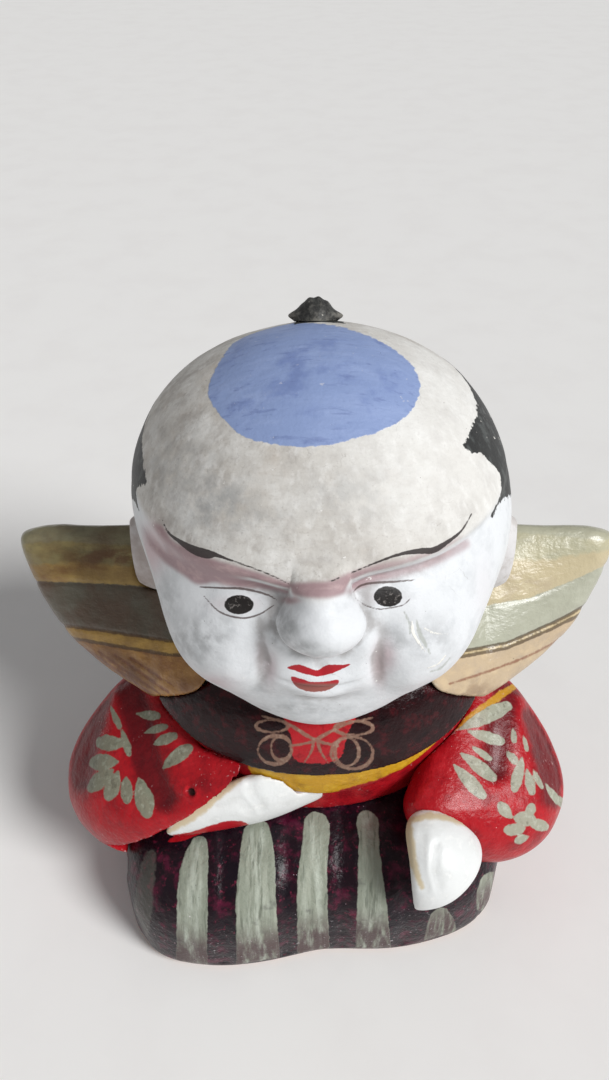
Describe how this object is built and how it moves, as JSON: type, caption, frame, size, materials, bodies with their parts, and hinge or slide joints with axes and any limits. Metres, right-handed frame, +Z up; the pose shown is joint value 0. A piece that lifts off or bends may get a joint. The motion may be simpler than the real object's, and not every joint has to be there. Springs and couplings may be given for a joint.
{
  "type": "clay doll",
  "caption": "Hollow painted clay doll of a kneeling figure in formal dress, with an oversized round head, a topknot, winged shoulders and striped trousers; an ornament that stands on its foot.",
  "frame": {"origin": "middle of the doll's bounding box, at the level of its foot", "axes": "+Z up, the doll faces -Y, and its left hand is on the +X side"},
  "size_m": [0.258, 0.1828, 0.261],
  "materials": {
    "shell_white": "matt white ground of powdered shell over fired clay",
    "hair_black": "worn black paint over fired clay",
    "bare_clay": "bare low-fired clay",
    "robe_red": "glossy red paint over fired clay",
    "vest_ochre": "glossy banded ochre, olive and grey paint over fired clay",
    "vest_black": "glossy black and red paint with a gold knot over fired clay",
    "lining_yellow": "glossy yellow paint over fired clay",
    "trouser_purple": "glossy dark purple paint with sage stripes over fired clay"
  },
  "bodies": {
    "root": {"face_shell": "shell_white", "skull_shell": "shell_white", "neck_tube": "bare_clay", "topknot": "hair_black", "right_ear": "shell_white", "left_ear": "shell_white", "lap_front": "trouser_purple", "lap_back": "trouser_purple", "torso_front": "robe_red", "torso_back": "robe_red", "vest_panel": "vest_black", "right_wing": "vest_ochre", "left_wing": "vest_ochre", "vest_lining": "lining_yellow", "right_sleeve": "robe_red", "left_sleeve": "robe_red", "right_hand": "shell_white", "left_hand": "shell_white"}
  },
  "joints": []
}
